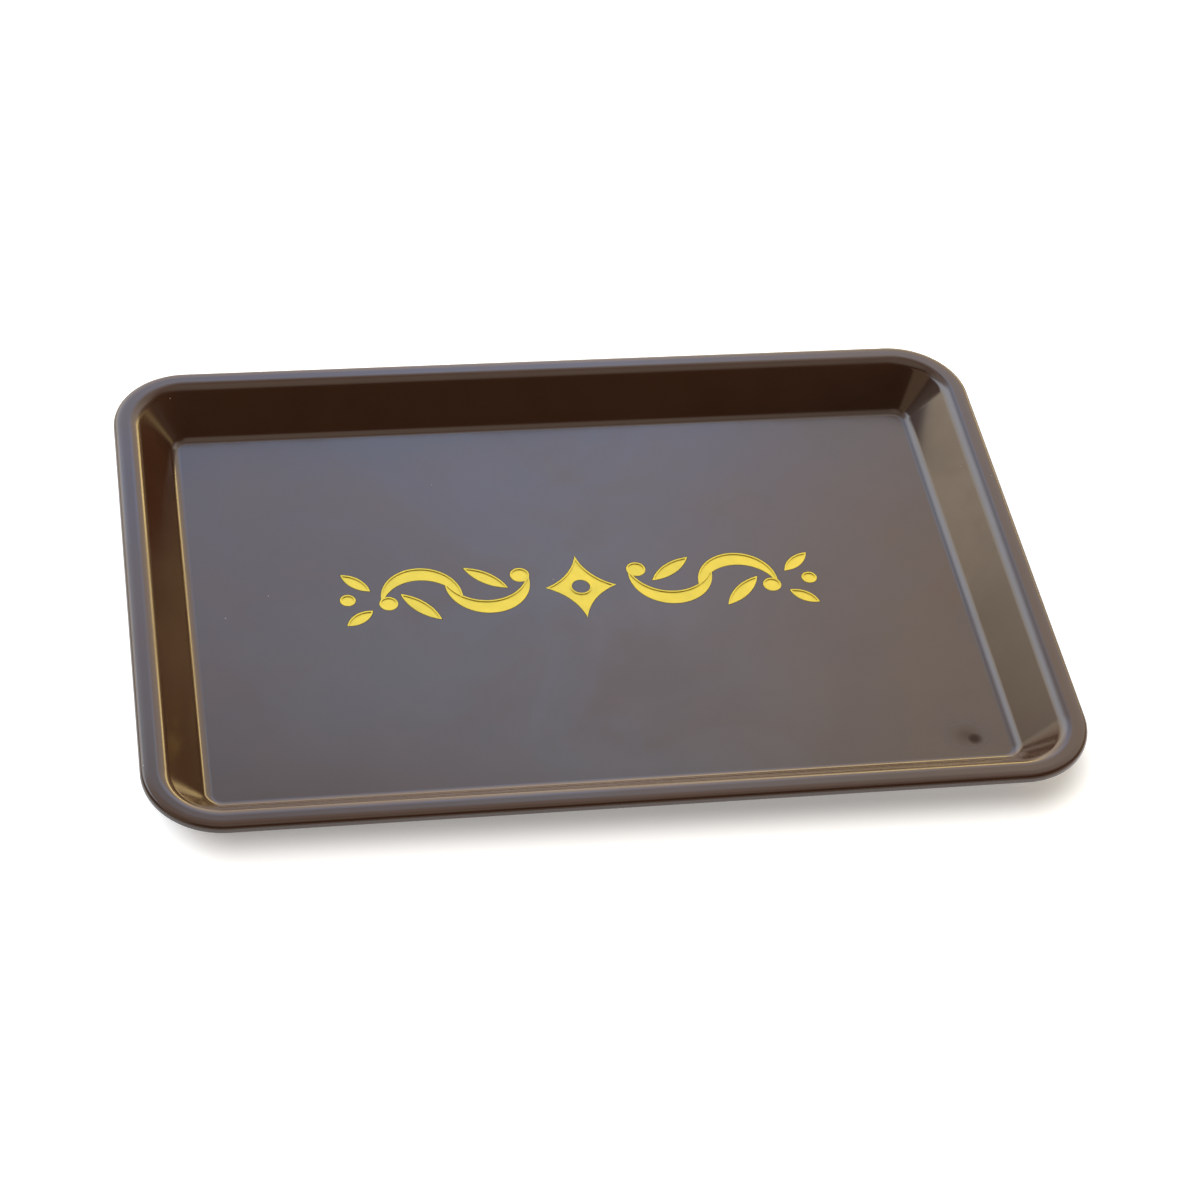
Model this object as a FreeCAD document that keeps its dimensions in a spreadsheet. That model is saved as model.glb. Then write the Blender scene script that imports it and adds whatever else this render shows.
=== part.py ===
"""Coin tray: one moulded plastic tray with a flat rim and a stamped gold scroll ornament on its floor.

Millimetres, +Z up, X along the tray's length, Y towards its back, origin in the middle of its underside.
"""
import FreeCAD, Part
import math
import os

import Sketcher

Vector = FreeCAD.Vector
UP = Vector(0, 0, 1)

doc = FreeCAD.newDocument("CoinTray")

# Driving dimensions
SIZES = {
    # The moulding seen from above
    "tray_length": 165.1,
    "tray_width": 114.3,
    "floor_corner_radius": 2.8,
    # The moulding seen in section
    "wall_thickness": 1.5,
    "well_depth": 7.5,
    "wall_run": 7.0,
    "rim_width": 4.1,
    "rim_crown_width": 1.75,
    "rim_crown_round": 8.0,
    "rim_round": 0.9,
    "rim_edge_round": 0.25,
    "brow_round": 1.6,
    "under_brow_round": 0.6,
    "foot_round": 1.8,
    # The mark that the moulding's gate leaves under the floor
    "gate_recess_diameter": 7.0,
    "gate_recess_depth": 0.4,
    "gate_stub_diameter": 2.2,
    "gate_stub_height": 0.3,
    # The stamped ornament
    "ornament_length": 89.0,
    "ornament_rise": 2.0,
    "stamp_depth": 0.4,
    "foil_thickness": 0.15,
}

sheet = doc.addObject("Spreadsheet::Sheet", "dims")
for row, (alias, value) in enumerate(SIZES.items(), start=1):
    sheet.set(f"A{row}", alias)
    sheet.set(f"B{row}", str(value))
    sheet.setAlias(f"B{row}", alias)
doc.recompute()


def size(alias):
    """The value that the sheet holds for a dimension."""
    return float(sheet.get(alias))


def new_sketch(body, name, plane, level="0 mm", rise="0 mm"):
    """A sketch on one of the body's own origin planes, lifted by a level and shifted by a rise."""
    sketch = body.newObject("Sketcher::SketchObject", name)
    support = next(f for f in body.Origin.OriginFeatures if f.Role == plane)
    sketch.AttachmentSupport = [(support, "")]
    sketch.MapMode = "FlatFace"
    sketch.setExpression("AttachmentOffset.Base.y", rise)
    sketch.setExpression("AttachmentOffset.Base.z", level)
    return sketch


def rule(sketch, kind, *places, follows=None):
    """One sketch constraint. A dimension starts at the expression's value and then follows it."""
    if follows is None:
        sketch.addConstraint(Sketcher.Constraint(kind, *places))
        return
    start = sketch.evalExpression(follows)
    number = getattr(start, "Value", start)
    index = sketch.addConstraint(Sketcher.Constraint(kind, *places, number))
    sketch.setExpression(f"Constraints[{index}]", follows)


def pad(body, name, sketch, height):
    """Material raised from a sketch."""
    feature = body.newObject("PartDesign::Pad", name)
    feature.Profile = sketch
    feature.setExpression("Length", height)


def pocket(body, name, sketch, depth, upwards=False):
    """Material cut away downwards from a sketch, or upwards from it."""
    doc.recompute()
    volume_before = body.Shape.Volume
    feature = body.newObject("PartDesign::Pocket", name)
    feature.Profile = sketch
    feature.Reversed = upwards
    feature.setExpression("Length", depth)
    doc.recompute()
    if not body.Shape.Volume < volume_before:
        raise RuntimeError(f"{name} cut nothing")


# Places on a piece of sketch geometry, and the sketch's own axes and origin
START, END, MIDDLE = range(1, 4)
X_AXIS = -1
ORIGIN = (-1, 1)


def arc_about(middle, radius, begin, sweep):
    """A counter-clockwise arc, angles in radians."""
    circle = Part.Circle(middle, UP, radius)
    return Part.ArcOfCircle(circle, begin, begin + sweep)


def rounded_rectangle(sketch, half_length, half_width, radius):
    """A rectangle with round corners about the origin; each argument is an expression."""
    x = sketch.evalExpression(half_length)
    y = sketch.evalExpression(half_width)
    r = sketch.evalExpression(radius)
    x, y, r = (getattr(v, "Value", v) for v in (x, y, r))
    quarter = math.pi / 2
    # The run starts half way along the right side, where the wall's section stands
    geometry = [
        Part.LineSegment(Vector(x, 0, 0), Vector(x, y - r, 0)),
        arc_about(Vector(x - r, y - r, 0), r, 0, quarter),
        Part.LineSegment(Vector(x - r, y, 0), Vector(r - x, y, 0)),
        arc_about(Vector(r - x, y - r, 0), r, quarter, quarter),
        Part.LineSegment(Vector(-x, y - r, 0), Vector(-x, r - y, 0)),
        arc_about(Vector(r - x, r - y, 0), r, 2 * quarter, quarter),
        Part.LineSegment(Vector(r - x, -y, 0), Vector(x - r, -y, 0)),
        arc_about(Vector(x - r, r - y, 0), r, 3 * quarter, quarter),
        Part.LineSegment(Vector(x, r - y, 0), Vector(x, 0, 0)),
    ]
    sketch.addGeometry(geometry, False)
    last = len(geometry) - 1
    for index in range(last):
        rule(sketch, "Tangent", index, END, index + 1, START)
    rule(sketch, "Coincident", last, END, 0, START)
    rule(sketch, "Vertical", 0)
    rule(sketch, "Horizontal", 2)
    rule(sketch, "Vertical", 4)
    rule(sketch, "Horizontal", 6)
    rule(sketch, "PointOnObject", 0, START, X_AXIS)
    for index in (3, 5, 7):
        rule(sketch, "Equal", 1, index)
    rule(sketch, "Radius", 1, follows=radius)
    rule(sketch, "DistanceX", *ORIGIN, 0, START, follows=half_length)
    rule(sketch, "DistanceY", *ORIGIN, 2, START, follows=half_width)
    rule(sketch, "DistanceX", 4, START, *ORIGIN, follows=half_length)
    rule(sketch, "DistanceY", 6, START, *ORIGIN, follows=half_width)


def wall_section(sketch):
    """The moulding's section from the floor's edge up the sloping wall and out to the rim's crowned edge."""
    half = size("tray_length") / 2
    wall = size("wall_thickness")
    top = wall + size("well_depth")
    slope = math.atan2(size("well_depth"), size("wall_run"))
    outward = Vector(math.sin(slope), -math.cos(slope), 0)
    foot = Vector(half - size("rim_width") - size("wall_run"), wall, 0)
    brow = Vector(half - size("rim_width"), top, 0)
    bend = math.tan(slope / 2)
    foot_middle = foot + Vector(-size("foot_round") * bend, size("foot_round"), 0)
    brow_middle = brow + Vector(size("brow_round") * bend, -size("brow_round"), 0)
    crown_middle = Vector(half - size("rim_crown_width"), top - size("rim_crown_round"), 0)
    crown_reach = size("rim_crown_round") - size("rim_round")
    lean = math.asin((size("rim_crown_width") - size("rim_round")) / crown_reach)
    rim_middle = crown_middle + Vector(math.sin(lean), math.cos(lean), 0) * crown_reach
    edge_middle = Vector(half - size("rim_edge_round"), top - wall + size("rim_edge_round"), 0)
    under_rim = top - wall
    quarter = math.pi / 2
    wall_bottom = foot_middle + outward * size("foot_round")
    wall_top = brow_middle - outward * size("brow_round")
    under_foot = foot_middle + outward * (size("foot_round") + wall)
    under_corner = Vector(brow.x + wall * bend, under_rim, 0)
    under_brow_middle = under_corner + Vector(size("under_brow_round") * bend, -size("under_brow_round"), 0)
    under_brow = under_brow_middle - outward * size("under_brow_round")

    # The section's lines and arcs by their place in the sketch, in the order that they are drawn
    (
        under_bend,
        under_wall,
        under_brow_bend,
        rim_under,
        edge_bend,
        rim_edge,
        rim_bend,
        rim_crown,
        rim_top,
        brow_bend,
        wall_face,
        foot_bend,
        floor_edge,
        slope_line,
    ) = range(14)
    sketch.addGeometry(
        [
            arc_about(foot_middle, size("foot_round") + wall, -quarter, slope),
            Part.LineSegment(under_foot, under_brow),
            arc_about(under_brow_middle, size("under_brow_round"), quarter, slope),
            Part.LineSegment(Vector(under_brow_middle.x, under_rim, 0), Vector(edge_middle.x, under_rim, 0)),
            arc_about(edge_middle, size("rim_edge_round"), -quarter, quarter),
            Part.LineSegment(Vector(half, edge_middle.y, 0), Vector(half, rim_middle.y, 0)),
            arc_about(rim_middle, size("rim_round"), 0, quarter - lean),
            arc_about(crown_middle, size("rim_crown_round"), quarter - lean, lean),
            Part.LineSegment(Vector(crown_middle.x, top, 0), Vector(brow_middle.x, top, 0)),
            arc_about(brow_middle, size("brow_round"), quarter, slope),
            Part.LineSegment(wall_top, wall_bottom),
            arc_about(foot_middle, size("foot_round"), -quarter, slope),
            Part.LineSegment(Vector(foot_middle.x, wall, 0), Vector(foot_middle.x, 0, 0)),
        ],
        False,
    )
    sketch.addGeometry([Part.LineSegment(foot, brow)], True)

    rule(sketch, "Tangent", under_bend, END, under_wall, START)
    rule(sketch, "Tangent", under_wall, END, under_brow_bend, END)
    rule(sketch, "Tangent", under_brow_bend, START, rim_under, START)
    rule(sketch, "Tangent", rim_under, END, edge_bend, START)
    rule(sketch, "Tangent", edge_bend, END, rim_edge, START)
    rule(sketch, "Tangent", rim_edge, END, rim_bend, START)
    rule(sketch, "Tangent", rim_bend, END, rim_crown, START)
    rule(sketch, "Tangent", rim_crown, END, rim_top, START)
    rule(sketch, "Tangent", rim_top, END, brow_bend, START)
    rule(sketch, "Tangent", brow_bend, END, wall_face, START)
    rule(sketch, "Tangent", wall_face, END, foot_bend, END)
    rule(sketch, "Coincident", foot_bend, START, floor_edge, START)
    rule(sketch, "Coincident", floor_edge, END, under_bend, START)
    for flat in (rim_under, rim_top):
        rule(sketch, "Horizontal", flat)
    for upright in (rim_edge, floor_edge):
        rule(sketch, "Vertical", upright)

    # The bend under the foot shares the floor bend's middle, so the wall keeps one thickness
    rule(sketch, "Coincident", under_bend, MIDDLE, foot_bend, MIDDLE)
    rule(sketch, "Vertical", foot_bend, MIDDLE, foot_bend, START)
    rule(sketch, "Parallel", under_wall, wall_face)
    rule(sketch, "PointOnObject", under_bend, START, X_AXIS)
    rule(sketch, "PointOnObject", wall_face, START, slope_line)
    rule(sketch, "PointOnObject", wall_face, END, slope_line)

    rule(sketch, "DistanceY", *ORIGIN, foot_bend, START, follows="dims.wall_thickness")
    rule(sketch, "Radius", foot_bend, follows="dims.foot_round")
    rule(sketch, "Radius", rim_bend, follows="dims.rim_round")
    rule(sketch, "Radius", edge_bend, follows="dims.rim_edge_round")
    rule(sketch, "Radius", brow_bend, follows="dims.brow_round")
    rule(sketch, "Radius", under_brow_bend, follows="dims.under_brow_round")
    rule(sketch, "Radius", rim_crown, follows="dims.rim_crown_round")
    rule(sketch, "DistanceX", rim_top, START, rim_edge, START, follows="dims.rim_crown_width")
    rule(sketch, "DistanceX", *ORIGIN, rim_edge, START, follows="dims.tray_length / 2")
    rule(sketch, "DistanceY", *ORIGIN, rim_top, START, follows="dims.wall_thickness + dims.well_depth")
    rule(sketch, "DistanceY", rim_under, END, rim_top, START, follows="dims.wall_thickness")
    rule(sketch, "DistanceX", slope_line, END, rim_edge, START, follows="dims.rim_width")
    rule(sketch, "DistanceY", *ORIGIN, slope_line, START, follows="dims.wall_thickness")
    rule(sketch, "DistanceX", slope_line, START, slope_line, END, follows="dims.wall_run")
    rule(sketch, "DistanceY", slope_line, START, slope_line, END, follows="dims.well_depth")


# The ornament's motifs for the right half, as shares of its length from the ornament's middle: strokes are
# (tip, tip, bow of the outer edge, bow of the inner edge), leaves are strokes that bow both ways, balls are
# (middle, radius). A bow to the left of the way from the first tip to the second is positive.
LOZENGE_SHARES = [(0.074, 0.0), (0.0, 0.090), (-0.074, 0.0), (0.0, -0.090)]
LOZENGE_BOW_SHARE = 0.014
LOZENGE_EYE_SHARE = 0.019
MOTIF_SHARES = {
    "scroll": [
        ("stroke", (0.106, 0.045), (0.279, 0.036), -0.103, -0.067),
        ("ball", (0.122, 0.042), 0.020),
        ("stroke", (0.249, -0.029), (0.413, -0.022), 0.101, 0.066),
        ("ball", (0.400, -0.022), 0.019),
    ],
    "bowl_leaf": [("stroke", (0.151, 0.007), (0.236, 0.070), 0.015, -0.015)],
    "arch_leaf": [("stroke", (0.297, -0.074), (0.373, 0.004), 0.015, -0.015)],
    "end_leaf_upper": [("stroke", (0.434, 0.016), (0.490, 0.067), 0.0135, -0.0135)],
    "end_leaf_lower": [("stroke", (0.434, -0.040), (0.490, -0.079), 0.0135, -0.0135)],
    "end_dot": [("ball", (0.482, -0.007), 0.016)],
}
SIDES = {"right": 1, "left": -1}


def along_ornament(share):
    """The expression for a share of the ornament's length."""
    return f"{share} * dims.ornament_length"


def fix_point(sketch, place, point):
    """Holds a point of the sketch at shares of the ornament's length."""
    rule(sketch, "DistanceX", *ORIGIN, *place, follows=along_ornament(point[0]))
    rule(sketch, "DistanceY", *ORIGIN, *place, follows=along_ornament(point[1]))


def bowed_arc(sketch, first, second, bow):
    """An arc between two points given as shares, bowed to the left of its way when the bow is positive."""
    length = size("ornament_length")
    tips = (first, second) if bow < 0 else (second, first)
    begin, finish = (Vector(x * length, y * length, 0) for x, y in tips)
    chord = finish - begin
    chord_share = chord.Length / length
    radius_share = chord_share**2 / (8 * abs(bow)) + abs(bow) / 2
    # Counter-clockwise from begin to finish, the arc bows to the right of the chord
    right = Vector(chord.y, -chord.x, 0).normalize()
    middle = (begin + finish) / 2 + right * (abs(bow) - radius_share) * length
    start = math.atan2(begin.y - middle.y, begin.x - middle.x)
    stop = math.atan2(finish.y - middle.y, finish.x - middle.x)
    sweep = (stop - start) % (2 * math.pi)
    index = sketch.addGeometry(arc_about(middle, radius_share * length, start, sweep), False)
    rule(sketch, "Radius", index, follows=along_ornament(radius_share))
    return index, (START if bow < 0 else END)


def draw_stroke(sketch, first, second, outer_bow, inner_bow):
    """A stroke between two tips, thick in its middle and drawn to a point at both ends."""
    outer, outer_first = bowed_arc(sketch, first, second, outer_bow)
    inner, inner_first = bowed_arc(sketch, first, second, inner_bow)
    outer_second = START + END - outer_first
    inner_second = START + END - inner_first
    rule(sketch, "Coincident", outer, outer_first, inner, inner_first)
    rule(sketch, "Coincident", outer, outer_second, inner, inner_second)
    fix_point(sketch, (outer, outer_first), first)
    fix_point(sketch, (outer, outer_second), second)


def draw_ball(sketch, middle, radius):
    """A round ball end or dot."""
    length = size("ornament_length")
    place = Vector(middle[0] * length, middle[1] * length, 0)
    index = sketch.addGeometry(Part.Circle(place, UP, radius * length), False)
    rule(sketch, "Radius", index, follows=along_ornament(radius))
    fix_point(sketch, (index, MIDDLE), middle)


def draw_lozenge(sketch):
    """The middle motif: four hollowed sides about a round eye."""
    sides = []
    for index, corner in enumerate(LOZENGE_SHARES):
        following = LOZENGE_SHARES[(index + 1) % len(LOZENGE_SHARES)]
        sides.append(bowed_arc(sketch, corner, following, LOZENGE_BOW_SHARE))
    for index, corner in enumerate(LOZENGE_SHARES):
        arc, first = sides[index]
        before, before_first = sides[index - 1]
        rule(sketch, "Coincident", arc, first, before, START + END - before_first)
        fix_point(sketch, (arc, first), corner)
    draw_ball(sketch, (0, 0), LOZENGE_EYE_SHARE)


def lozenge_outline(body, level):
    """The name and the sketch of the middle motif, at a level of a body."""
    sketch = new_sketch(body, "LozengeOutline", "XY_Plane", level, "dims.ornament_rise")
    draw_lozenge(sketch)
    return "Lozenge", sketch


def motif_outlines(body, motif, side, level):
    """The names and sketches of one side motif's strokes and balls, at a level of a body."""
    hand = SIDES[side]
    for number, (kind, *shares) in enumerate(MOTIF_SHARES[motif], start=1):
        name = f"{motif}_{side}_{number}"
        sketch = new_sketch(body, f"{name}_outline", "XY_Plane", level, "dims.ornament_rise")
        if kind == "ball":
            (x, y), radius = shares
            draw_ball(sketch, (hand * x, y), radius)
        else:
            (x1, y1), (x2, y2), outer_bow, inner_bow = shares
            draw_stroke(sketch, (hand * x1, y1), (hand * x2, y2), hand * outer_bow, hand * inner_bow)
        yield name, sketch


FLOOR_TOP = "dims.wall_thickness"
STAMP_BOTTOM = "dims.wall_thickness - dims.stamp_depth"
# The floor's flat ends where its bend into the wall begins
BEND_INSET = "dims.foot_round * tan(atan2(dims.well_depth; dims.wall_run) / 2)"
FLAT_INSET = f"dims.rim_width + dims.wall_run + {BEND_INSET}"


def make_tray():
    """The moulding: flat floor, sloping wall, flat rim with a crowned edge, sunk ornament and gate mark."""
    body = doc.addObject("PartDesign::Body", "tray_shell")
    body.Label = "tray_shell"

    floor_outline = new_sketch(body, "FloorOutline", "XY_Plane")
    rounded_rectangle(
        floor_outline,
        f"dims.tray_length / 2 - ({FLAT_INSET})",
        f"dims.tray_width / 2 - ({FLAT_INSET})",
        f"dims.floor_corner_radius - {BEND_INSET}",
    )
    pad(body, "Floor", floor_outline, "dims.wall_thickness")

    section = new_sketch(body, "WallSection", "XZ_Plane")
    wall_section(section)
    path = new_sketch(body, "RimPath", "XY_Plane")
    rounded_rectangle(
        path,
        "dims.tray_length / 2",
        "dims.tray_width / 2",
        "dims.floor_corner_radius + dims.wall_run + dims.rim_width",
    )
    wall = body.newObject("PartDesign::AdditivePipe", "WallAndRim")
    wall.Profile = section
    wall.Spine = (path, [f"Edge{number}" for number in range(1, path.GeometryCount + 1)])
    doc.recompute()

    # The hot stamp presses each motif into the floor
    pocket(body, *lozenge_outline(body, FLOOR_TOP), "dims.stamp_depth")
    for side in SIDES:
        for motif in MOTIF_SHARES:
            for name, sketch in motif_outlines(body, motif, side, FLOOR_TOP):
                pocket(body, name, sketch, "dims.stamp_depth")

    recess_outline = new_sketch(body, "GateRecessOutline", "XY_Plane")
    circle = recess_outline.addGeometry(Part.Circle(Vector(), UP, size("gate_recess_diameter") / 2), False)
    rule(recess_outline, "Coincident", circle, MIDDLE, *ORIGIN)
    rule(recess_outline, "Diameter", circle, follows="dims.gate_recess_diameter")
    pocket(body, "GateRecess", recess_outline, "dims.gate_recess_depth", upwards=True)

    stub_level = "dims.gate_recess_depth - dims.gate_stub_height"
    stub_outline = new_sketch(body, "GateStubOutline", "XY_Plane", stub_level)
    circle = stub_outline.addGeometry(Part.Circle(Vector(), UP, size("gate_stub_diameter") / 2), False)
    rule(stub_outline, "Coincident", circle, MIDDLE, *ORIGIN)
    rule(stub_outline, "Diameter", circle, follows="dims.gate_stub_diameter")
    pad(body, "GateStub", stub_outline, "dims.gate_stub_height")
    return body


def make_foil(label):
    """An empty body for one patch of stamped foil."""
    body = doc.addObject("PartDesign::Body", label)
    body.Label = label
    return body


def make_foils():
    """The gold foil that the stamp leaves on the bottom of each sunk motif."""
    lozenge = make_foil("foil_lozenge")
    pad(lozenge, *lozenge_outline(lozenge, STAMP_BOTTOM), "dims.foil_thickness")
    foils = [lozenge]
    for side in SIDES:
        for motif in MOTIF_SHARES:
            body = make_foil(f"foil_{motif}_{side}")
            for name, sketch in motif_outlines(body, motif, side, STAMP_BOTTOM):
                pad(body, name, sketch, "dims.foil_thickness")
            foils.append(body)
    return foils


pieces = [make_tray(), *make_foils()]
doc.recompute()

for item in doc.Objects:
    if "Invalid" in item.State or "Error" in item.State:
        raise RuntimeError(f"{item.Label} failed: {item.State}")
for piece in pieces:
    if piece.Shape.isNull() or not piece.Shape.isValid():
        raise RuntimeError(f"{piece.Label} has no valid shape")

os.makedirs("parts", exist_ok=True)
for piece in pieces:
    piece.Shape.exportStep(f"parts/{piece.Label}.step")
    print(piece.Label, f"{piece.Shape.Volume:.2f} mm3", len(piece.Shape.Solids), "solid")
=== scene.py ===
import math
from functools import partial

import bmesh
import bpy
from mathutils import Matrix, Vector


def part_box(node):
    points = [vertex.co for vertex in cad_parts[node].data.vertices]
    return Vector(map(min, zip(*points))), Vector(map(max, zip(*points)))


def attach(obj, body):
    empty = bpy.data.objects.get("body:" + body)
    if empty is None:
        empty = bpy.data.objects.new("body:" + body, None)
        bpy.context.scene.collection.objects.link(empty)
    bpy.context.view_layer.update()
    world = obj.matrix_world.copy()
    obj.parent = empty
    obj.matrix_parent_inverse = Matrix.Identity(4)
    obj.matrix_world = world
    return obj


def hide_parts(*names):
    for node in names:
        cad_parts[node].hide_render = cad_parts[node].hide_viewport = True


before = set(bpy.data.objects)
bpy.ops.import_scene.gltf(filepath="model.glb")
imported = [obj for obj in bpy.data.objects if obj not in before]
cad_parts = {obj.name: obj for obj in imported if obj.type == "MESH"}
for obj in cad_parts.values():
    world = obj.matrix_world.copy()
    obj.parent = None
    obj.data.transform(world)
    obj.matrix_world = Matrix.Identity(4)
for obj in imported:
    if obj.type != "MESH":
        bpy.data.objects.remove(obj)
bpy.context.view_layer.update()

# The tray is one injection moulding in glossy dark brown plastic: a flat floor, a wall that slopes out at
# one angle all round with conical corners, and a flat rim with a crowned edge. A block is pressed into
# shape ring by ring: from the rim's edge into the well, and from the edge under the rim to the underside.
tray_low, tray_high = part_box("tray_shell")
TRAY_LENGTH = tray_high.x - tray_low.x
TRAY_WIDTH = tray_high.y - tray_low.y
RIM_TOP = tray_high.z
WALL_THICKNESS = 0.0015
FLOOR_CORNER_RADIUS = 0.0028
WALL_RUN = 0.0070
RIM_WIDTH = 0.0041
RIM_CROWN_WIDTH = 0.00175
RIM_CROWN_ROUND = 0.0080
RIM_ROUND = 0.0009
RIM_EDGE_ROUND = 0.00025
BROW_ROUND = 0.0032
UNDER_BROW_ROUND = 0.0006
FOOT_ROUND = 0.0026
OUTER_CORNER_RADIUS = FLOOR_CORNER_RADIUS + WALL_RUN + RIM_WIDTH
FLOOR_TOP = tray_low.z + WALL_THICKNESS
RIM_UNDERSIDE = RIM_TOP - WALL_THICKNESS
WALL_SLOPE = math.atan2(RIM_TOP - FLOOR_TOP, WALL_RUN)
QUARTER = math.pi / 2
CORNER_STEPS = 28
BEND_STEPS = 9
# Rings this far from the end of a flat keep its shading flat
FLAT_GUARD = 0.00004
# A step inwards smaller than this is no inset, and the ring goes straight up or down
SMALLEST_INSET = FLAT_GUARD / 1000
# A face looks up, or down, where its normal rises, or falls, by more than this
LOOKS_UP = 0.5


def deselect_all():
    """Leaves nothing selected, so that the next operator acts on its own piece alone."""
    bpy.ops.object.select_all(action="DESELECT")


def select_in_edit(piece, faces=None, edges=None):
    """Goes into edit mode with only those faces or edges selected that a test picks out by their place."""
    deselect_all()
    piece.select_set(True)
    bpy.context.view_layer.objects.active = piece
    bpy.ops.object.mode_set(mode="EDIT")
    bpy.ops.mesh.select_mode(type="FACE" if faces else "EDGE")
    bpy.ops.mesh.select_all(action="DESELECT")
    mesh = bmesh.from_edit_mesh(piece.data)
    for part in mesh.faces if faces else mesh.edges:
        part.select_set((faces or edges)(part))
    bmesh.update_edit_mesh(piece.data)


def bend(middle, radius, begin, end):
    """Points (distance in from the edge, height) round a bend, from angle to angle.

    Angle 0 points outwards, and a quarter turn points up.
    """
    angles = (begin + (end - begin) * step / BEND_STEPS for step in range(BEND_STEPS + 1))
    return [(middle[0] - radius * math.cos(a), middle[1] + radius * math.sin(a)) for a in angles]


def guarded_run(begin, end):
    """The two points just inside the ends of a flat stretch of the section."""
    share = FLAT_GUARD / math.dist(begin, end)
    along = [e - b for b, e in zip(begin, end)]
    return [
        (begin[0] + along[0] * share, begin[1] + along[1] * share),
        (end[0] - along[0] * share, end[1] - along[1] * share),
    ]


def press_along(section, facing):
    """Carries the selected end face along a section, leaving a ring of wall at each of its points."""
    for (run, height), (next_run, next_height) in zip(section, section[1:]):
        if next_run - run > SMALLEST_INSET:
            bpy.ops.mesh.inset(thickness=next_run - run, depth=(next_height - height) * facing)
        else:
            move = (0, 0, next_height - height)
            bpy.ops.mesh.extrude_region_move(TRANSFORM_OT_translate={"value": move})


half_bend = math.tan(WALL_SLOPE / 2)
foot_middle = (RIM_WIDTH + WALL_RUN + FOOT_ROUND * half_bend, FLOOR_TOP + FOOT_ROUND)
brow_middle = (RIM_WIDTH - BROW_ROUND * half_bend, RIM_TOP - BROW_ROUND)
crown_reach = RIM_CROWN_ROUND - RIM_ROUND
crown_lean = math.asin((RIM_CROWN_WIDTH - RIM_ROUND) / crown_reach)
rim_height = RIM_TOP - RIM_CROWN_ROUND + crown_reach * math.cos(crown_lean)
rim_bend = bend((RIM_ROUND, rim_height), RIM_ROUND, 0, QUARTER - crown_lean)
crown_middle = (RIM_CROWN_WIDTH, RIM_TOP - RIM_CROWN_ROUND)
crown_bend = bend(crown_middle, RIM_CROWN_ROUND, QUARTER - crown_lean, QUARTER)[1:]
brow_bend = bend(brow_middle, BROW_ROUND, QUARTER, QUARTER + WALL_SLOPE)
foot_bend = bend(foot_middle, FOOT_ROUND, WALL_SLOPE - QUARTER, -QUARTER)
edge_bend = bend((RIM_EDGE_ROUND, RIM_UNDERSIDE + RIM_EDGE_ROUND), RIM_EDGE_ROUND, 0, -QUARTER)
under_brow_middle = (
    RIM_WIDTH - (WALL_THICKNESS + UNDER_BROW_ROUND) * half_bend,
    RIM_UNDERSIDE - UNDER_BROW_ROUND,
)
under_brow = bend(under_brow_middle, UNDER_BROW_ROUND, QUARTER, QUARTER + WALL_SLOPE)
under_bend = bend(foot_middle, FOOT_ROUND + WALL_THICKNESS, WALL_SLOPE - QUARTER, -QUARTER)
floor_guard = (foot_bend[-1][0] + FLAT_GUARD, FLOOR_TOP)
underside_guard = (under_bend[-1][0] + FLAT_GUARD, tray_low.z)

edge_high = rim_bend[0][1] - FLAT_GUARD
edge_low = edge_bend[0][1] + FLAT_GUARD
well_section = [
    (0, edge_high),
    *rim_bend,
    *crown_bend,
    *guarded_run(crown_bend[-1], brow_bend[0]),
    *brow_bend,
    *guarded_run(brow_bend[-1], foot_bend[0]),
    *foot_bend,
    floor_guard,
]
under_section = [
    (0, edge_low),
    *edge_bend,
    *guarded_run(edge_bend[-1], under_brow[0]),
    *under_brow,
    *guarded_run(under_brow[-1], under_bend[0]),
    *under_bend,
    underside_guard,
]

deselect_all()
bpy.ops.mesh.primitive_cube_add(size=1, location=(0, 0, (edge_high + edge_low) / 2))
tray = bpy.context.active_object
tray.name = "tray"
tray.scale = (TRAY_LENGTH, TRAY_WIDTH, edge_high - edge_low)
bpy.ops.object.transform_apply(location=True, rotation=True, scale=True)
select_in_edit(tray, edges=lambda e: abs(e.verts[0].co.z - e.verts[1].co.z) > FLAT_GUARD)
bpy.ops.mesh.bevel(offset=OUTER_CORNER_RADIUS, segments=CORNER_STEPS, affect="EDGES")
bpy.ops.object.mode_set(mode="OBJECT")
select_in_edit(tray, faces=lambda f: f.normal.z > LOOKS_UP)
press_along(well_section, 1)
bpy.ops.object.mode_set(mode="OBJECT")
over_bottom = edge_low + FLAT_GUARD
select_in_edit(tray, faces=lambda f: f.normal.z < -LOOKS_UP and f.calc_center_median().z < over_bottom)
press_along(under_section, -1)
bpy.ops.object.mode_set(mode="OBJECT")

PLASTIC_IOR = 1.6
# Flow mottling: where the noise turns from one brown to the next
MOTTLE_SCALE = 70.0
MOTTLE_BROWNS = [(0.3, (0.046, 0.0205, 0.0115)), (0.7, (0.054, 0.0245, 0.0135))]
# Wiping smudges: where the noise turns, and the roughness before and after
SMUDGE_SCALE = 34.0
SMUDGE_SPAN = (0.35, 0.70)
SMUDGE_ROUGHNESS = (0.11, 0.22)
# Dust: the cells that have a speck, the speck's reach in its cell, and how much of it shows
DUST_SCALE = 150.0
DUST_CHOSEN = (0.42, 0.50)
DUST_REACH = (0.012, 0.026)
DUST_SHOWN = 0.8
DUST_COLOUR = (0.30, 0.27, 0.25)
DUST_ROUGHNESS = 0.35
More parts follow.
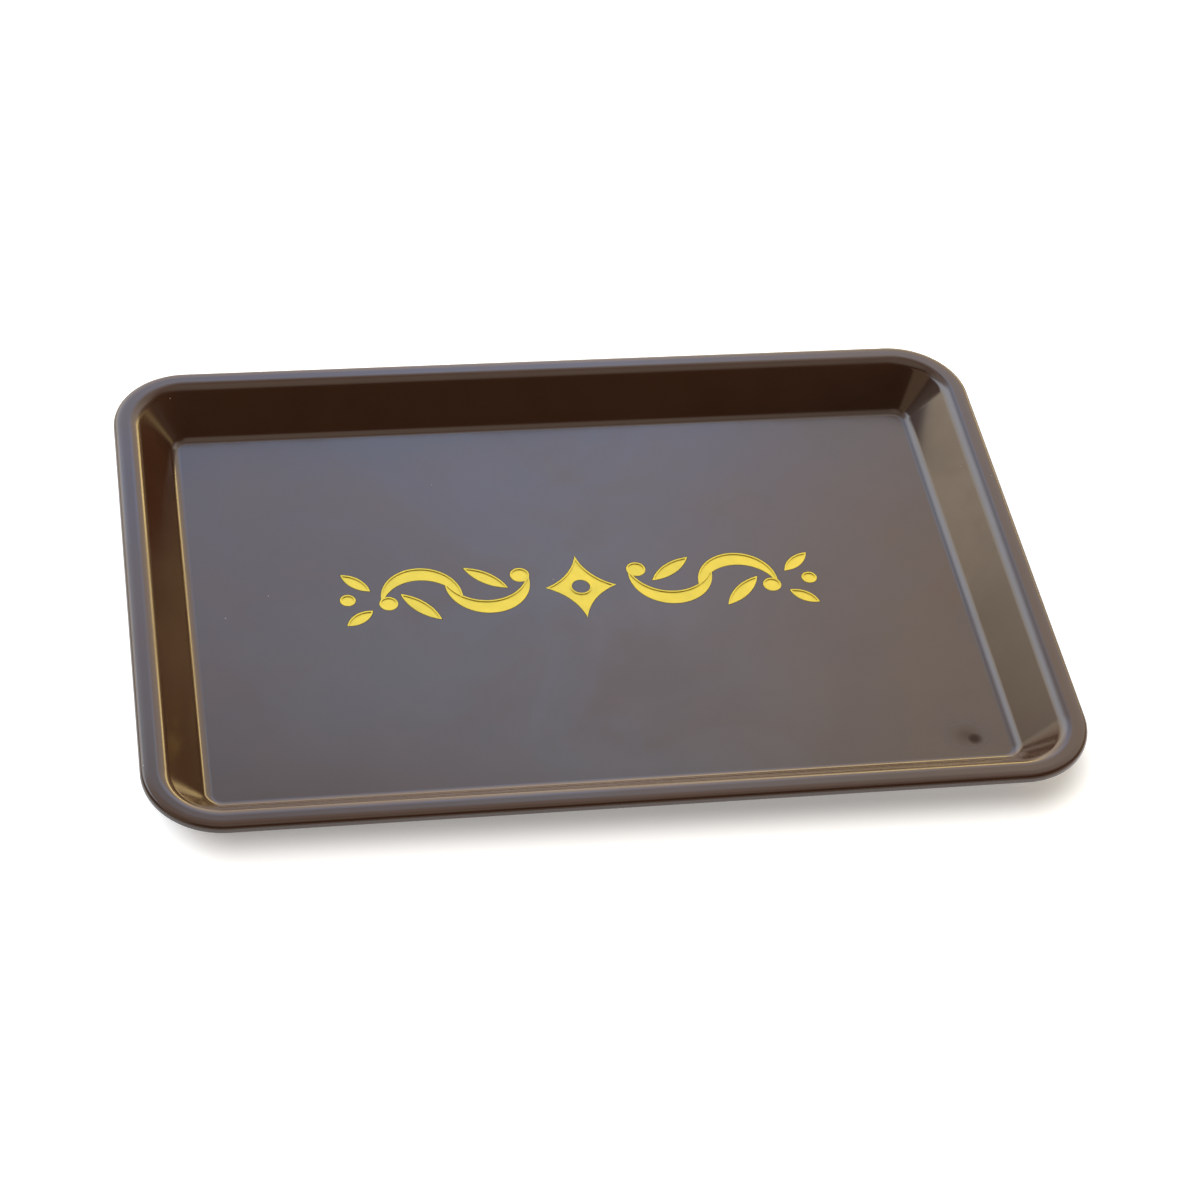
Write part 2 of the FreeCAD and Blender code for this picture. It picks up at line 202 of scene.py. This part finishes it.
# One dull spot on the floor, and the faint halo about it. For each: its middle, its stretch along X, the
# radii between which it fades out, and its depth
SPOT_PATCHES = [
    ((0.0641, -0.0409), 1.0, 0.0003, 0.0024, 1.0),
    ((0.0628, -0.0402), 1.1, 0.0000, 0.0047, 0.60),
]
SPOT_COLOUR = (0.03, 0.011, 0.006)
SPOT_ROUGHNESS = 0.75
# A slow ripple from the mould, and a fine grain over it
RIPPLE_SCALE = 32.0
RIPPLE_STRENGTH = 0.35
RIPPLE_HEIGHT = 0.00008
GRAIN_SCALE = 1900.0
GRAIN_STRENGTH = 0.10
GRAIN_HEIGHT = 0.000012


def feed(tree, socket, value):
    """Sets a node's input to a value, or links it to another node's output."""
    if isinstance(value, bpy.types.NodeSocket):
        tree.links.new(value, socket)
    else:
        socket.default_value = value


def add_node(tree, kind, settings=None, **inputs):
    """A shader node with its settings, and its inputs fed by name."""
    made = tree.nodes.new("ShaderNode" + kind)
    for name, value in (settings or {}).items():
        setattr(made, name, value)
    for name, value in inputs.items():
        feed(tree, made.inputs[name.replace("_", " ")], value)
    return made


def reckon(tree, operation, *inputs, clamp=False):
    """The result of a sum on numbers, its inputs in the node's own order."""
    made = add_node(tree, "Math", {"operation": operation, "use_clamp": clamp})
    for socket, value in zip(made.inputs, inputs):
        feed(tree, socket, value)
    return made.outputs["Value"]


def reckon_vector(tree, operation, *inputs):
    """The result of a sum on vectors or colours, a number where it is a length."""
    made = add_node(tree, "VectorMath", {"operation": operation})
    for socket, value in zip(made.inputs, inputs):
        feed(tree, socket, value)
    return made.outputs["Value" if operation == "LENGTH" else "Vector"]


def ramp(tree, share, stops):
    """The colour that a row of (place, colour) stops gives for a share."""
    made = add_node(tree, "ValToRGB", Fac=share)
    row = made.color_ramp.elements
    while len(row) < len(stops):
        row.new(1)
    for element, (place, colour) in zip(row, stops):
        element.position = place
        element.color = (*colour, 1)
    return made.outputs["Color"]


def blended(tree, share, first, second):
    """The first colour turning into the second by a share."""
    return add_node(tree, "MixRGB", Fac=share, Color1=first, Color2=second).outputs["Color"]


def spread(tree, value, span, result, smooth=True):
    """A value taken from its span to the result's, and held at the ends."""
    made = add_node(
        tree,
        "MapRange",
        {"interpolation_type": "SMOOTHSTEP" if smooth else "LINEAR"},
        Value=value,
        From_Min=span[0],
        From_Max=span[1],
        To_Min=result[0],
        To_Max=result[1],
    )
    return made.outputs["Result"]


def new_material(name):
    """An empty material with its shader, its output and the piece's own coordinates."""
    material = bpy.data.materials.new(name)
    material.use_nodes = True
    tree = material.node_tree
    tree.nodes.clear()
    shader = add_node(tree, "BsdfPrincipled")
    add_node(tree, "OutputMaterial", Surface=shader.outputs["BSDF"])
    place = add_node(tree, "TexCoord").outputs["Object"]
    return material, tree, shader, place


def dull_spot(tree, place):
    """How much of the dull spot lies at a place: the greater of its two patches there."""
    patches = []
    for middle, stretch, inner, outer, depth in SPOT_PATCHES:
        off = reckon_vector(tree, "SUBTRACT", place, (*middle, FLOOR_TOP))
        drawn_in = reckon_vector(tree, "MULTIPLY", off, (1 / stretch, 1, 1))
        away = reckon_vector(tree, "LENGTH", drawn_in)
        patches.append(spread(tree, away, (inner, outer), (depth, 0.0)))
    return reckon(tree, "MAXIMUM", *patches)


def dust_specks(tree, place):
    """How much of a speck of dust lies at a place."""
    cells = add_node(tree, "TexVoronoi", Vector=place, Scale=DUST_SCALE).outputs
    speck = spread(tree, cells["Distance"], DUST_REACH, (1.0, 0.0))
    chosen = spread(tree, cells["Color"], DUST_CHOSEN, (0.0, DUST_SHOWN))
    return reckon(tree, "MULTIPLY", speck, chosen)


def brown_plastic():
    """Glossy moulded plastic: mottled, smudged and rippled a little, with some dust and one dull spot."""
    material, tree, shader, place = new_material("brown_plastic")
    shader.inputs["IOR"].default_value = PLASTIC_IOR
    spot = dull_spot(tree, place)
    dust = dust_specks(tree, place)

    mottle = add_node(tree, "TexNoise", Vector=place, Scale=MOTTLE_SCALE, Detail=3.0, Roughness=0.6)
    brown = ramp(tree, mottle.outputs["Fac"], MOTTLE_BROWNS)
    spotted = blended(tree, spot, brown, (*SPOT_COLOUR, 1))
    dusted = blended(tree, dust, spotted, (*DUST_COLOUR, 1))
    tree.links.new(dusted, shader.inputs["Base Color"])

    smudge = add_node(
        tree, "TexNoise", Vector=place, Scale=SMUDGE_SCALE, Detail=5.0, Roughness=0.62, Distortion=0.6
    )
    gloss = spread(tree, smudge.outputs["Fac"], SMUDGE_SPAN, SMUDGE_ROUGHNESS)
    dusty_gloss = reckon(tree, "MULTIPLY_ADD", dust, DUST_ROUGHNESS, gloss)
    spotted_gloss = reckon(tree, "MULTIPLY_ADD", spot, SPOT_ROUGHNESS, dusty_gloss)
    tree.links.new(spotted_gloss, shader.inputs["Roughness"])

    ripple = add_node(tree, "TexNoise", Vector=place, Scale=RIPPLE_SCALE, Detail=2.0).outputs["Fac"]
    grain = add_node(tree, "TexNoise", Vector=place, Scale=GRAIN_SCALE, Detail=2.0).outputs["Fac"]
    rippled = add_node(tree, "Bump", Height=ripple, Strength=RIPPLE_STRENGTH, Distance=RIPPLE_HEIGHT)
    grained = add_node(tree, "Bump", Height=grain, Strength=GRAIN_STRENGTH, Distance=GRAIN_HEIGHT)
    tree.links.new(rippled.outputs["Normal"], grained.inputs["Normal"])
    tree.links.new(grained.outputs["Normal"], shader.inputs["Normal"])
    return material


tray.data.materials.append(brown_plastic())

# The gate mark under the floor: a shallow round recess with the stub of the moulding's runner left standing
# in it, short of the underside. It is part of the moulding, sunk here with a cutter of the recess's shape.
GATE_RECESS_RADIUS = 0.0035
GATE_RECESS_DEPTH = 0.0004
GATE_STUB_RADIUS = 0.0011
GATE_STUB_HEIGHT = 0.0003
ROUND_STEPS = 64
OVERRUN = 0.001


def round_bar(middle, radius, low, high, steps):
    """An upright bar of round or many-sided section, its place in its mesh."""
    deselect_all()
    bpy.ops.mesh.primitive_cylinder_add(
        vertices=steps, radius=radius, depth=high - low, location=(*middle, (low + high) / 2)
    )
    bpy.ops.object.transform_apply(location=True, rotation=True, scale=True)
    return bpy.context.active_object


def combine(piece, tool, operation):
    """Cuts a tool out of a piece, joins it on or keeps what both hold, and takes the tool away."""
    deselect_all()
    piece.select_set(True)
    bpy.context.view_layer.objects.active = piece
    cut = piece.modifiers.new("cut", "BOOLEAN")
    cut.operation = operation
    cut.solver = "EXACT"
    cut.object = tool
    bpy.ops.object.modifier_apply(modifier=cut.name)
    spent = tool.data
    bpy.data.objects.remove(tool)
    bpy.data.meshes.remove(spent)
    return piece


gate_top = tray_low.z + GATE_RECESS_DEPTH
gate_cutter = round_bar((0, 0), GATE_RECESS_RADIUS, tray_low.z - OVERRUN, gate_top, ROUND_STEPS)
select_in_edit(gate_cutter, faces=lambda f: f.normal.z > LOOKS_UP)
bpy.ops.mesh.inset(thickness=GATE_RECESS_RADIUS - GATE_STUB_RADIUS, depth=0)
bpy.ops.mesh.extrude_region_move(TRANSFORM_OT_translate={"value": (0, 0, -GATE_STUB_HEIGHT)})
bpy.ops.object.mode_set(mode="OBJECT")
combine(tray, gate_cutter, "DIFFERENCE")

# The ornament is hot-stamped: a heated die presses each motif of a scroll pattern into the floor and leaves
# gold foil in it, dished within a narrow raised edge. A lozenge is in the middle, with an S-scroll, leaves
# and a dot on each side of it. Places and bows are shares of the ornament's length, from its middle.
ORNAMENT_LENGTH = 0.089
ORNAMENT_RISE = 0.002
STAMP_DEPTH = 0.0004
STAMP_BOTTOM = FLOOR_TOP - STAMP_DEPTH
RECESS_GAP = 0.00008
FOIL_EDGE_WIDTH = 0.00028
FOIL_EDGE_RISE = 0.00003
FOIL_DISH_DEPTH = 0.00012
ARC_STEPS = 160
LOZENGE_SHARES = [(0.074, 0.0), (0.0, 0.090), (-0.074, 0.0), (0.0, -0.090)]
LOZENGE_BOW_SHARE = 0.014
LOZENGE_EYE_SHARE = 0.019
MOTIF_SHARES = {
    "scroll": [
        ("stroke", (0.106, 0.045), (0.279, 0.036), -0.103, -0.067),
        ("ball", (0.122, 0.042), 0.020),
        ("stroke", (0.249, -0.029), (0.413, -0.022), 0.101, 0.066),
        ("ball", (0.400, -0.022), 0.019),
    ],
    "bowl_leaf": [("stroke", (0.151, 0.007), (0.236, 0.070), 0.015, -0.015)],
    "arch_leaf": [("stroke", (0.297, -0.074), (0.373, 0.004), 0.015, -0.015)],
    "end_leaf_upper": [("stroke", (0.434, 0.016), (0.490, 0.067), 0.0135, -0.0135)],
    "end_leaf_lower": [("stroke", (0.434, -0.040), (0.490, -0.079), 0.0135, -0.0135)],
    "end_dot": [("ball", (0.482, -0.007), 0.016)],
}
SHARP_ANGLE = math.radians(30)
MERGE_DISTANCE = 0.000001
# The foil's colour and roughness are uneven where the die pressed it, and fine creases run over it
FOIL_METALLIC = 0.6
PRESSED_SCALE = 260.0
PRESSED_SPAN = (0.3, 0.7)
PRESSED_GOLDS = [(0.3, (0.58, 0.465, 0.048)), (0.7, (0.68, 0.555, 0.064))]
PRESSED_ROUGHNESS = (0.30, 0.38)
CREASE_SCALE = 420.0
CREASE_STRENGTH = 0.12
CREASE_HEIGHT = 0.00002


def on_floor(share):
    """A place on the tray's floor from its shares of the ornament's length."""
    return Vector((share[0] * ORNAMENT_LENGTH, share[1] * ORNAMENT_LENGTH + ORNAMENT_RISE))


def bowed_circle(first, second, bow_share):
    """Middle and radius of the circle through two places, its arc bowed to the left for a positive bow."""
    begin, end = on_floor(first), on_floor(second)
    chord = end - begin
    bow = abs(bow_share) * ORNAMENT_LENGTH
    radius = chord.length**2 / (8 * bow) + bow / 2
    left = Vector((-chord.y, chord.x)).normalized() * math.copysign(1, bow_share)
    return (begin + end) / 2 + left * (bow - radius), radius


def stroke_bar(first, second, outer_bow, inner_bow, shrink, low, high):
    """An upright bar with a stroke's outline: a crescent, or a leaf where the two edges bow apart."""
    middle, radius = bowed_circle(first, second, outer_bow)
    bar = round_bar(middle, radius - shrink, low, high, ARC_STEPS)
    leaf = outer_bow * inner_bow < 0
    middle, radius = bowed_circle(first, second, inner_bow)
    tool_radius = radius - shrink if leaf else radius + shrink
    tool = round_bar(middle, tool_radius, low - OVERRUN, high + OVERRUN, ARC_STEPS)
    return combine(bar, tool, "INTERSECT" if leaf else "DIFFERENCE")


def motif_bar(motif, hand, shrink, low, high):
    """An upright bar with a side motif's whole outline, drawn in all round by a shrink."""
    whole = None
    for kind, *shares in MOTIF_SHARES[motif]:
        if kind == "ball":
            (x, y), radius_share = shares
            radius = radius_share * ORNAMENT_LENGTH - shrink
            bar = round_bar(on_floor((hand * x, y)), radius, low, high, ROUND_STEPS)
        else:
            (x1, y1), (x2, y2), outer_bow, inner_bow = shares
            ends = (hand * x1, y1), (hand * x2, y2)
            bar = stroke_bar(*ends, hand * outer_bow, hand * inner_bow, shrink, low, high)
        whole = combine(whole, bar, "UNION") if whole else bar
    return whole


def lozenge_bar(shrink, low, high):
    """An upright bar with the middle motif's outline: four hollowed sides about a round eye."""
    bar = round_bar((0, 0), 1, low, high, len(LOZENGE_SHARES))
    bar.scale = (LOZENGE_SHARES[0][0] * ORNAMENT_LENGTH, LOZENGE_SHARES[1][1] * ORNAMENT_LENGTH, 1)
    bar.location = (*on_floor((0, 0)), 0)
    deselect_all()
    bar.select_set(True)
    bpy.ops.object.transform_apply(location=True, rotation=True, scale=True)
    for corner, following in zip(LOZENGE_SHARES, LOZENGE_SHARES[1:] + LOZENGE_SHARES[:1]):
        middle, radius = bowed_circle(corner, following, LOZENGE_BOW_SHARE)
        side = round_bar(middle, radius + shrink, low - OVERRUN, high + OVERRUN, ARC_STEPS)
        combine(bar, side, "DIFFERENCE")
    eye_radius = LOZENGE_EYE_SHARE * ORNAMENT_LENGTH + shrink
    eye = round_bar(on_floor((0, 0)), eye_radius, low - OVERRUN, high + OVERRUN, ROUND_STEPS)
    return combine(bar, eye, "DIFFERENCE")


def gold_foil():
    """Hot-stamped foil: bright satin gold, a little uneven where the die pressed it, with fine creases."""
    material, tree, shader, place = new_material("gold_foil")
    shader.inputs["Metallic"].default_value = FOIL_METALLIC
    pressed = add_node(tree, "TexNoise", Vector=place, Scale=PRESSED_SCALE, Detail=4.0, Roughness=0.6)
    gold = ramp(tree, pressed.outputs["Fac"], PRESSED_GOLDS)
    tree.links.new(gold, shader.inputs["Base Color"])
    satin = spread(tree, pressed.outputs["Fac"], PRESSED_SPAN, PRESSED_ROUGHNESS)
    tree.links.new(satin, shader.inputs["Roughness"])
    ridges = {"noise_type": "RIDGED_MULTIFRACTAL"}
    crease = add_node(tree, "TexNoise", ridges, Vector=place, Scale=CREASE_SCALE, Detail=2.0).outputs["Fac"]
    creased = add_node(tree, "Bump", Height=crease, Strength=CREASE_STRENGTH, Distance=CREASE_HEIGHT)
    tree.links.new(creased.outputs["Normal"], shader.inputs["Normal"])
    return material


def finish_piece(piece):
    """Outward faces, merged doubles, and shading that is smooth but for the sharp edges."""
    select_in_edit(piece, faces=lambda f: True)
    bpy.ops.mesh.remove_doubles(threshold=MERGE_DISTANCE)
    bpy.ops.mesh.select_all(action="SELECT")
    bpy.ops.mesh.normals_make_consistent(inside=False)
    bpy.ops.object.mode_set(mode="OBJECT")
    bpy.ops.object.shade_smooth_by_angle(angle=SHARP_ANGLE)


foil_gold = gold_foil()
motif_bars = {"foil_lozenge": lozenge_bar}
for side_name, hand in (("right", 1), ("left", -1)):
    for motif in MOTIF_SHARES:
        motif_bars[f"foil_{motif}_{side_name}"] = partial(motif_bar, motif, hand)
for node, shaped_bar in motif_bars.items():
    recess = shaped_bar(-RECESS_GAP, STAMP_BOTTOM, FLOOR_TOP + OVERRUN)
    combine(tray, recess, "DIFFERENCE")
    foil = shaped_bar(0, STAMP_BOTTOM, FLOOR_TOP + FOIL_EDGE_RISE)
    dish = shaped_bar(FOIL_EDGE_WIDTH, FLOOR_TOP - FOIL_DISH_DEPTH, FLOOR_TOP + OVERRUN)
    combine(foil, dish, "DIFFERENCE")
    foil.name = node.replace("foil_", "stamped_")
    finish_piece(foil)
    foil.data.materials.clear()
    foil.data.materials.append(foil_gold)
    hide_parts(node)
    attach(foil, "root")

# With all its recesses cut, the tray itself is done
finish_piece(tray)
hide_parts("tray_shell")
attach(tray, "root")

# The floor is a wide white sheet under the tray, not part of it. It glows a little where it is seen, so
# that it reads as plain white.
# Under the rim and close round the tray the glow is weaker: a painted shadow that deepens the tray's own
# cast shadow there.
SHEET_SPAN = 20.0
SHEET_DROP = 0.00002
SHEET_WHITE = (0.80, 0.885, 0.96)
SHEET_ROUGHNESS = 0.9
# The glow under the rim, which is a painted shadow, and round the tray, which is plain white; where one
# turns into the other; and how far the painted shadow is shifted and turned towards the right and front
PAINTED_SHADOW_GLOW = 0.235
GLOW_AROUND = 0.85
GLOW_INSIDE = 0.0050
GLOW_OUTSIDE = 0.0038
PAINTED_SHADOW_SHIFT = (0.0031, 0.0010, 0)
PAINTED_SHADOW_TURN = 0.016


def glow_with_painted_shadow(tree, place):
    """The sheet's glow at a place, by its distance from the tray's rounded outline: dimmer near and under
    it, as a painted shadow.
    """
    shifted = reckon_vector(tree, "SUBTRACT", place, PAINTED_SHADOW_SHIFT)
    turned = add_node(tree, "VectorRotate", {"rotation_type": "Z_AXIS"}, Vector=shifted, Angle=PAINTED_SHADOW_TURN)
    from_middle = reckon_vector(tree, "ABSOLUTE", turned.outputs["Vector"])
    straight_half = (TRAY_LENGTH / 2 - OUTER_CORNER_RADIUS, TRAY_WIDTH / 2 - OUTER_CORNER_RADIUS, 0)
    past_straight = reckon_vector(tree, "SUBTRACT", from_middle, straight_half)
    outwards = reckon_vector(tree, "MAXIMUM", past_straight, (0, 0, 0))
    away = reckon_vector(tree, "LENGTH", outwards)
    span = (OUTER_CORNER_RADIUS - GLOW_INSIDE, OUTER_CORNER_RADIUS + GLOW_OUTSIDE)
    return spread(tree, away, span, (PAINTED_SHADOW_GLOW, GLOW_AROUND))


def white_paper():
    """Matt white paper, with a glow that is only seen, straight or in a reflection, and lights nothing. The
    glow is dimmer about the tray, a painted shadow.
    """
    material, tree, shader, place = new_material("white_paper")
    shader.inputs["Base Color"].default_value = (*SHEET_WHITE, 1)
    shader.inputs["Roughness"].default_value = SHEET_ROUGHNESS
    shader.inputs["Specular IOR Level"].default_value = 0.0
    shader.inputs["Emission Color"].default_value = (1, 1, 1, 1)
    sight = add_node(tree, "LightPath").outputs
    straight_or_gloss = reckon(tree, "ADD", sight["Is Camera Ray"], sight["Is Glossy Ray"])
    seen = reckon(tree, "ADD", straight_or_gloss, sight["Is Transmission Ray"], clamp=True)
    shown_glow = reckon(tree, "MULTIPLY", glow_with_painted_shadow(tree, place), seen)
    tree.links.new(shown_glow, shader.inputs["Emission Strength"])
    return material


deselect_all()
bpy.ops.mesh.primitive_plane_add(size=SHEET_SPAN, location=(0, 0, tray_low.z - SHEET_DROP))
sheet = bpy.context.active_object
sheet.name = "white_sheet"
sheet.data.materials.append(white_paper())

# The light is a wide soft sky behind the tray, cool above, warm near the floor and golden low on the right.
# The rest is a dim room with a pale wall low down at the front and sides, a pale ceiling straight above the
# tray, and a dim box on each side.
SKY_STRENGTH = 5.0
ROOM_COLOUR = (0.06, 0.043, 0.03)
# Each sky's colours from the horizon, 0, to straight up, 1
LEFT_SKY = [
    (0.00, (0.16, 0.11, 0.07)),
    (0.18, (0.36, 0.30, 0.23)),
    (0.25, (0.565, 0.495, 0.385)),
    (0.30, (0.58, 0.51, 0.41)),
    (0.38, (0.62, 0.60, 0.56)),
    (0.47, (0.64, 0.66, 0.69)),
    (0.62, (0.68, 0.74, 0.82)),
    (0.70, (0.58, 0.64, 0.73)),
    (0.76, (0.21, 0.20, 0.195)),
    (0.86, (0.20, 0.17, 0.155)),
    (0.94, (0.03, 0.022, 0.02)),
    (0.98, (0.0, 0.0, 0.0)),
]
MIDDLE_SKY = [
    (0.00, (0.50, 0.41, 0.31)),
    (0.15, (0.56, 0.47, 0.37)),
    (0.35, (0.54, 0.48, 0.42)),
    (0.48, (0.52, 0.47, 0.44)),
    (0.56, (0.50, 0.50, 0.55)),
    (0.66, (0.33, 0.425, 0.64)),
    (0.707, (0.35, 0.42, 0.52)),
    (0.735, (0.345, 0.455, 0.575)),
    (0.755, (0.245, 0.25, 0.26)),
    (0.80, (0.20, 0.175, 0.16)),
    (0.86, (0.20, 0.17, 0.155)),
    (0.90, (0.10, 0.075, 0.065)),
    (0.94, (0.03, 0.022, 0.02)),
    (0.98, (0.0, 0.0, 0.0)),
]
RIGHT_SKY = [
    (0.00, (0.08, 0.055, 0.03)),
    (0.22, (0.14, 0.10, 0.05)),
    (0.27, (1.60, 1.16, 0.48)),
    (0.34, (1.60, 1.22, 0.56)),
    (0.40, (0.38, 0.31, 0.24)),
    (0.60, (0.40, 0.36, 0.32)),
    (0.645, (0.31, 0.34, 0.385)),
    (0.68, (0.385, 0.285, 0.21)),
    (0.70, (0.39, 0.33, 0.255)),
    (0.731, (0.335, 0.315, 0.265)),
    (0.76, (0.235, 0.215, 0.19)),
    (0.86, (0.20, 0.17, 0.15)),
    (0.94, (0.03, 0.022, 0.02)),
    (0.98, (0.0, 0.0, 0.0)),
]
# The front and sides of the room: a pale wall low down, dim above
FRONT_WALL = [
    (0.02, (0.30, 0.26, 0.22)),
    (0.10, (0.66, 0.61, 0.55)),
    (0.38, (0.66, 0.61, 0.55)),
    (0.50, (0.0, 0.0, 0.0)),
]
# The ceiling straight above the tray
CEILING = [
    (0.90, (0.0, 0.0, 0.0)),
    (0.97, (0.80, 0.70, 0.58)),
]
# How bright the sky is from far left, -1, to far right, 1, with a dimmer strip about the middle
SKY_ACROSS = [
    (-0.738, 0.08),
    (-0.698, 1.0),
    (-0.10, 1.0),
    (0.03, 0.76),
    (0.08, 0.84),
    (0.16, 1.0),
    (0.66, 1.0),
    (0.74, 0.20),
]
# Where one sky turns into the next, from left to right, and where the sky begins and the wall ends, from
# front to back
LEFT_TO_MIDDLE = (-0.25, -0.02)
MIDDLE_TO_RIGHT = (0.15, 0.30)
SKY_BEGINS = (-0.05, 0.30)
WALL_ENDS = (-0.30, 0.10)

world = bpy.data.worlds.new("studio")
bpy.context.scene.world = world
world.use_nodes = True
sky_tree = world.node_tree
sky_tree.nodes.clear()
way = add_node(sky_tree, "TexCoord").outputs["Generated"]
split = add_node(sky_tree, "SeparateXYZ", Vector=way).outputs
left_sky, middle_sky, right_sky, front_wall, ceiling = (
    ramp(sky_tree, split["Z"], stops) for stops in (LEFT_SKY, MIDDLE_SKY, RIGHT_SKY, FRONT_WALL, CEILING)
)
past_left = spread(sky_tree, split["X"], LEFT_TO_MIDDLE, (0.0, 1.0))
past_middle = spread(sky_tree, split["X"], MIDDLE_TO_RIGHT, (0.0, 1.0))
left_half = blended(sky_tree, past_left, left_sky, middle_sky)
whole_sky = blended(sky_tree, past_middle, left_half, right_sky)
left_to_right = spread(sky_tree, split["X"], (-1.0, 1.0), (0.0, 1.0), smooth=False)
across_stops = [((x + 1) / 2, (share, share, share)) for x, share in SKY_ACROSS]
across = ramp(sky_tree, left_to_right, across_stops)
behind = spread(sky_tree, split["Y"], SKY_BEGINS, (0.0, SKY_STRENGTH))
sky_strength = reckon(sky_tree, "MULTIPLY", behind, across)
lit_sky = reckon_vector(sky_tree, "MULTIPLY", whole_sky, sky_strength)
in_front = spread(sky_tree, split["Y"], WALL_ENDS, (1.0, 0.0))
lit_wall = reckon_vector(sky_tree, "MULTIPLY", front_wall, in_front)
sky_and_wall = reckon_vector(sky_tree, "ADD", lit_sky, lit_wall)
with_room = reckon_vector(sky_tree, "ADD", sky_and_wall, ROOM_COLOUR)
with_ceiling = reckon_vector(sky_tree, "ADD", with_room, ceiling)
background = add_node(sky_tree, "Background", Color=with_ceiling)
add_node(sky_tree, "OutputWorld", Surface=background.outputs["Background"])

BOX_COLOUR = (1.0, 0.72, 0.47)
# Each box's place, size and watts, and whether the gloss mirrors it
BOXES = {
    "left_box": ((-0.99, -0.33, 1.08), 0.90, 1.6, True),
    "right_box": ((1.05, -0.28, 0.155), 0.32, 5.5, False),
}
for name, (box_place, box_size, watts, mirrored) in BOXES.items():
    deselect_all()
    bpy.ops.object.light_add(type="AREA", location=box_place)
    box = bpy.context.active_object
    box.name = name
    box.rotation_euler = Vector(box_place).to_track_quat("Z", "Y").to_euler()
    box.data.size = box_size
    box.data.energy = watts
    box.data.color = BOX_COLOUR
    box.visible_glossy = mirrored

# The camera stands in front of the tray, to its left and above it, and leans a little, as the
# photograph's did.
CAMERA_PLACE = (-0.09544, -0.39122, 0.39807)
CAMERA_TURN_DEGREES = (45.1469, -5.0600, -9.1618)
CAMERA_LENS_MM = 92.746
CAMERA_SENSOR_MM = 36.0
CAMERA_NEAREST = 0.01
deselect_all()
camera_turn = [math.radians(degrees) for degrees in CAMERA_TURN_DEGREES]
bpy.ops.object.camera_add(location=CAMERA_PLACE, rotation=camera_turn)
camera = bpy.context.active_object
camera.data.lens = CAMERA_LENS_MM
camera.data.sensor_width = CAMERA_SENSOR_MM
camera.data.clip_start = CAMERA_NEAREST
bpy.context.scene.camera = camera
bpy.context.scene.view_settings.view_transform = "Standard"
